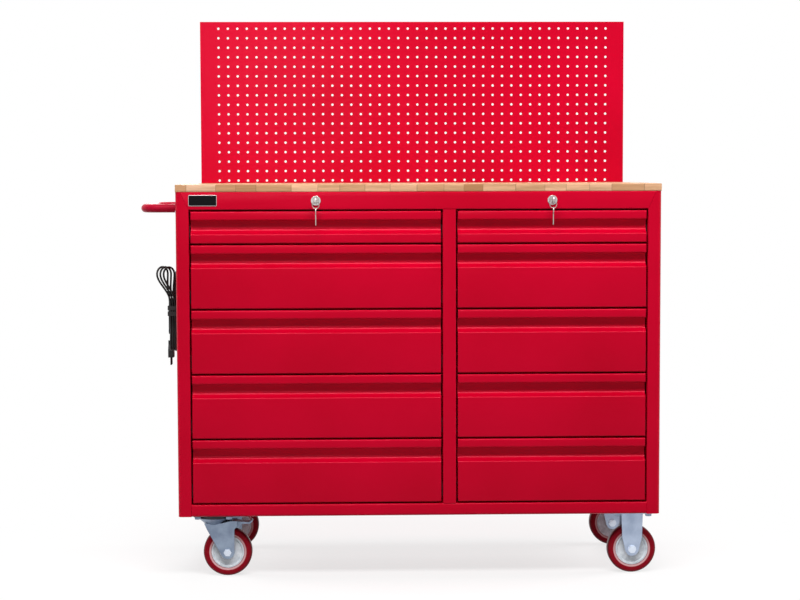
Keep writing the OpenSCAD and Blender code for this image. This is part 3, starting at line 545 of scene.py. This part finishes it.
# Push handle: a bent steel tube with a welded flange at each end, coated a duller red.
# Three screws hold each flange on the left side panel.
dull_red = powder_coat("dull_red", (0.46, 0.004, 0.030, 1), (0.38, 0.003, 0.022, 1), gloss=0.42)
dress(["push_handle"], dull_red)
flange_r = 0.024
flange_t = 0.003
flange_screw_r = 0.0036
flange_screw_h = 0.0020
screw_circle = 0.0175
handle_low, handle_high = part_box("push_handle")
handle_z = (handle_low.z + handle_high.z) / 2
handle_places = []
for flange_y in (handle_low.y + flange_r, handle_high.y - flange_r):
    for turn in (90, 210, 330):
        spot = (left_x - flange_t, flange_y + screw_circle * math.cos(math.radians(turn)),
                handle_z + screw_circle * math.sin(math.radians(turn)))
        handle_places.append(onto(spot, (-1, 0, 0)))
flange_screw = domed_head(flange_screw_r, flange_screw_h, screw_dimple)
set_out("handle_screws", flange_screw, handle_places, bright_zinc, "cabinet")

# Outlet box: a black moulded box with two round sockets, screwed on the left side panel.
# The cord comes out of a hexagon gland on its top.
box_edge = 0.0016
gland_edge = 0.0006
box_screw_r = 0.0028
box_screw_h = 0.0012
box_screw_inset = 0.008


def moulded_black(name, colour, dusty, gloss):
    finish, tree, shader, place = new_finish(name)
    shader.inputs["Specular IOR Level"].default_value = 0.25
    cloud = between(tree, mottle(tree, place, scale=60.0, detail=4.0), low=0.0, high=1.0)
    sheen = between(tree, mottle(tree, place, scale=140.0), low=gloss - 0.06, high=gloss + 0.08)
    coat_with(tree, shader, blend_colours(tree, cloud, colour, dusty), sheen)
    raise_grain(tree, shader, mottle(tree, place, scale=1500.0, detail=2.0), strength=0.2, depth=0.0003)
    return finish


black = moulded_black("moulded_black", (0.016, 0.016, 0.017, 1), (0.028, 0.028, 0.029, 1), gloss=0.44)
dress(["outlet_box"], black, box_edge)
dress(["cord_gland"], black, gland_edge)
outlet_low, outlet_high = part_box("outlet_box")
outlet_places = []
for screw_y in (outlet_low.y + box_screw_inset, outlet_high.y - box_screw_inset):
    for screw_z in (outlet_low.z + box_screw_inset, outlet_high.z - box_screw_inset):
        outlet_places.append(onto((outlet_low.x, screw_y, screw_z), (-1, 0, 0)))
box_screw = domed_head(box_screw_r, box_screw_h, screw_dimple)
set_out("outlet_screws", box_screw, outlet_places, bright_zinc, "cabinet")

# Cord: one black mains lead, 5 mm thick. It rises from the gland, arches over to the hank and is
# folded there in three turns that lean away from the side at the top, tied at the waist.
cord_d = 0.005
cord_r = cord_d / 2
hank_turns = 3
hank_step = cord_d + 0.0006
hank_fold_r = 0.018
hank_waist = cord_r + 0.0006
hank_up = 0.098
hank_down = 0.074
hank_lean = 0.020
hank_twist = math.radians(45)
hank_fan = 0.010
lean_from = 0.026
lean_over = hank_up - 0.010
lean_part = 0.82
hank_x = left_x - cord_r - 0.0025
hank_y = front_y + 0.062
hank_z = base_z + 0.503
tail_x = hank_x - hank_step * hank_turns
tail_from = 0.008
tail_drop = 0.058
tail_side = 0.037
strand_part = 0.38
narrow_part = 0.24
arch_rise = 0.070
arch_reach = 0.058
rings_per_turn = 72
first_ring = -rings_per_turn // 8
tail_steps = 24
arch_steps = 32


def smooth_step(u):
    return u * u * (3 - 2 * u)


def spread_out(t):
    """From 0 at the waist to 1 at the bow, after a narrow stretch."""
    return smooth_step(max(0.0, min(1.0, (t - narrow_part) / (1 - narrow_part))))


def fold_point(s, rise):
    """A point of one fold: up one strand, round the bow and down the other."""
    spread = hank_fold_r - hank_waist
    if s < strand_part:
        return hank_waist + spread * spread_out(s / strand_part), rise * s / strand_part
    if s > 1 - strand_part:
        return -hank_waist - spread * spread_out((1 - s) / strand_part), rise * (1 - s) / strand_part
    w = math.pi * (s - strand_part) / (1 - 2 * strand_part)
    return hank_fold_r * math.cos(w), rise + hank_fold_r * math.sin(w)


def hank_point(turns):
    """A point of the hank: each turn is a fold below the waist and then one above it."""
    s = turns - math.floor(turns)
    if s < 0.5:
        across, height = fold_point(s * 2, hank_down)
        height = -height
    else:
        across, height = fold_point(s * 2 - 1, hank_up)
        across = -across
    lift = max(0.0, height - lean_from) / lean_over
    swing = smooth_step(min(1.0, lift / lean_part))
    twist = hank_twist * swing
    lean = hank_lean * swing * (1 + turns / hank_turns) / 2
    return Vector((hank_x - hank_step * turns - lean + across * math.sin(twist),
                   hank_y + across * math.cos(twist) + hank_fan * (turns - hank_turns / 2) * lift,
                   hank_z + height))


def tail_point(t):
    """A point of the end that leaves the hank to the side and hangs down to the plug."""
    aside = hank_waist + (tail_side - hank_waist) * smooth_step(t)
    return Vector((tail_x, hank_y + aside, hank_z - tail_from - tail_drop * t))


def curve_point(pulls, t):
    """A point of a cubic curve from the first of four points to the last, pulled towards the others."""
    weights = ((1 - t) ** 3, 3 * t * (1 - t) ** 2, 3 * t * t * (1 - t), t ** 3)
    return sum((w * p for w, p in zip(weights, pulls)), Vector())


hank = [hank_point(i / rings_per_turn) for i in range(first_ring, rings_per_turn * hank_turns + 1)]
tail = [tail_point(i / tail_steps) for i in range(tail_steps + 1)]
tail.append(tail[-1] - Vector((0, 0, cord_d)))
gland_low, gland_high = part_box("cord_gland")
cord_exit = Vector(((gland_low.x + gland_high.x) / 2, (gland_low.y + gland_high.y) / 2, gland_high.z))
arch_end = (hank[1] - hank[0]).normalized()
arch = [cord_exit + Vector((0, 0, cord_d)), cord_exit + Vector((0, 0, arch_rise)),
        hank[0] - arch_reach * arch_end, hank[0]]
lead = [cord_exit] + [curve_point(arch, i / arch_steps) for i in range(arch_steps + 1)]
route = lead + hank[1:] + tail[1:]
line = bpy.data.curves.new("mains_cord", "CURVE")
line.dimensions = "3D"
line.bevel_depth = cord_r
line.bevel_resolution = 3
line.use_fill_caps = True
spline = line.splines.new("POLY")
spline.points.add(len(route) - 1)
for point, spot in zip(spline.points, route):
    point.co = (*spot, 1.0)
spline.use_smooth = True
sheath = moulded_black("cord_sheath", (0.004, 0.004, 0.004, 1), (0.008, 0.008, 0.008, 1), gloss=0.42)
line.materials.append(sheath)
mains_cord = bpy.data.objects.new("mains_cord", line)
bpy.context.scene.collection.objects.link(mains_cord)
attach(mains_cord, "cabinet")
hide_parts("power_cord", "cord_hank")

# Tie and plug: two bands of black hook-and-loop strap pulled round the waist of the hank,
# and a moulded plug with two round pins at the cord's end.
strap_edge = 0.0004
plug_edge = 0.0015


def loop_strap(deep, worn):
    finish, tree, shader, place = new_finish("loop_strap")
    weave = wire(tree, "ShaderNodeTexVoronoi", {"Vector": place, "Scale": 1100.0}).outputs["Distance"]
    coat_with(tree, shader, blend_colours(tree, weave, deep, worn),
              between(tree, mottle(tree, place, scale=500.0), low=0.75, high=0.95))
    raise_grain(tree, shader, weave, strength=0.6, depth=0.0006)
    return finish


dress(["cord_tie"], loop_strap((0.010, 0.010, 0.010, 1), (0.035, 0.035, 0.036, 1)), strap_edge)
dress(["plug"], black, plug_edge)

# Studio: a pale floor that keeps the shadow under the cabinet and fades to white away from it.
# The world is white where it is seen directly or mirrored, and a softer light elsewhere.
floor_half = 40.0
floor_unseen = (0.32, 0.32, 0.32, 1)
floor_seen = (0.90, 0.90, 0.90, 1)
shadow_r = 0.50
white_r = 1.20
least_white = 0.72
sky_light = 0.16
white = (1, 1, 1, 1)
floor_shape = bmesh.new()
bmesh.ops.create_grid(floor_shape, x_segments=4, y_segments=4, size=floor_half)
floor_mesh = bpy.data.meshes.new("floor")
floor_shape.to_mesh(floor_mesh)
floor_shape.free()
floor = bpy.data.objects.new("floor", floor_mesh)
bpy.context.scene.collection.objects.link(floor)


def seen_directly(tree):
    """1 for rays from the camera and for mirrored and transmitted ones."""
    path = wire(tree, "ShaderNodeLightPath").outputs
    either = wire(tree, "ShaderNodeMath", {0: path["Is Camera Ray"], 1: path["Is Glossy Ray"]},
                  operation="MAXIMUM")
    return wire(tree, "ShaderNodeMath", {0: either.outputs[0], 1: path["Is Transmission Ray"]},
                operation="MAXIMUM").outputs[0]


def pale_floor():
    """A dull floor that turns white with the distance from the cabinet, where it is seen directly."""
    finish, tree, shader, place = new_finish("pale_floor")
    direct = seen_directly(tree)
    tree.links.new(blend_colours(tree, direct, floor_unseen, floor_seen), shader.inputs["Base Color"])
    shader.inputs["Roughness"].default_value = 0.9
    shader.inputs["Specular IOR Level"].default_value = 0.1
    away = wire(tree, "ShaderNodeVectorMath", {0: place}, operation="LENGTH").outputs["Value"]
    fade = wire(tree, "ShaderNodeMapRange", {"Value": away, "From Min": shadow_r, "From Max": white_r,
                                             "To Min": least_white}, interpolation_type="SMOOTHSTEP")
    glow = wire(tree, "ShaderNodeEmission", {"Strength": 1.0})
    share = wire(tree, "ShaderNodeMath", {0: fade.outputs["Result"], 1: direct}, operation="MULTIPLY")
    mixed = wire(tree, "ShaderNodeMixShader",
                 {0: share.outputs[0], 1: shader.outputs[0], 2: glow.outputs[0]})
    tree.links.new(mixed.outputs[0], tree.nodes["Material Output"].inputs["Surface"])
    return finish


floor_mesh.materials.append(pale_floor())

world = bpy.data.worlds.new("studio")
bpy.context.scene.world = world
world.use_nodes = True
tree = world.node_tree
soft_sky = tree.nodes["Background"]
soft_sky.inputs["Color"].default_value = white
soft_sky.inputs["Strength"].default_value = sky_light
white_sky = wire(tree, "ShaderNodeBackground", {"Color": white, "Strength": 1.0})
mixed = wire(tree, "ShaderNodeMixShader",
             {0: seen_directly(tree), 1: soft_sky.outputs[0], 2: white_sky.outputs[0]})
tree.links.new(mixed.outputs[0], tree.nodes["World Output"].inputs["Surface"])


def soft_box(name, spot, target, width, height, power, mirrored=True):
    """A lamp behind a diffuser. One that isn't mirrored lights the cabinet but makes no glare on it."""
    lamp = bpy.data.lights.new(name, "AREA")
    lamp.shape = "RECTANGLE"
    lamp.size = width
    lamp.size_y = height
    lamp.energy = power
    made = bpy.data.objects.new(name, lamp)
    made.location = spot
    made.rotation_euler = (Vector(target) - Vector(spot)).to_track_quat("-Z", "Y").to_euler()
    made.visible_glossy = mirrored
    bpy.context.scene.collection.objects.link(made)


soft_box("overhead", spot=(0.1, -2.0, 3.15), target=(0.05, 0.0, 0.9), width=3.0, height=0.8, power=112.0)
soft_box("front_fill", spot=(-0.55, -5.3, 1.7), target=(0.0, 0.0, 1.0), width=0.9, height=0.9, power=12.0)
for name, side_x in (("left_side", -4.2), ("right_side", 4.2)):
    soft_box(name, spot=(side_x, 0.5, 2.6), target=(0.0, 0.1, 0.7), width=1.6, height=1.6, power=92.0,
             mirrored=False)
soft_box("behind", spot=(0.0, 4.6, 2.6), target=(0.0, 0.2, 0.7), width=2.4, height=1.6, power=110.0)

# Camera: the photograph's own viewing angle, from a fit of its perspective, with a longer lens
# so that the cabinet fills the frame.
camera_spot = Vector((-0.1285, -4.935, 1.022))
camera_yaw = math.radians(-1.549)
camera_pitch = math.radians(3.965)
camera_roll = math.radians(-0.157)
ahead = Vector((-math.sin(camera_yaw) * math.cos(camera_pitch),
                math.cos(camera_yaw) * math.cos(camera_pitch),
                -math.sin(camera_pitch)))
level = Vector((math.cos(camera_yaw), math.sin(camera_yaw), 0))
upright = level.cross(ahead)
right_axis = math.cos(camera_roll) * level + math.sin(camera_roll) * upright
up_axis = math.cos(camera_roll) * upright - math.sin(camera_roll) * level
camera_turn = Matrix((right_axis, up_axis, -ahead)).transposed().to_4x4()
camera_data = bpy.data.cameras.new("camera")
camera_data.sensor_width = 36.0
camera_data.lens = 85.8
camera = bpy.data.objects.new("camera", camera_data)
camera.matrix_world = Matrix.Translation(camera_spot) @ camera_turn
bpy.context.scene.collection.objects.link(camera)
bpy.context.scene.camera = camera
bpy.context.scene.view_settings.view_transform = "Standard"
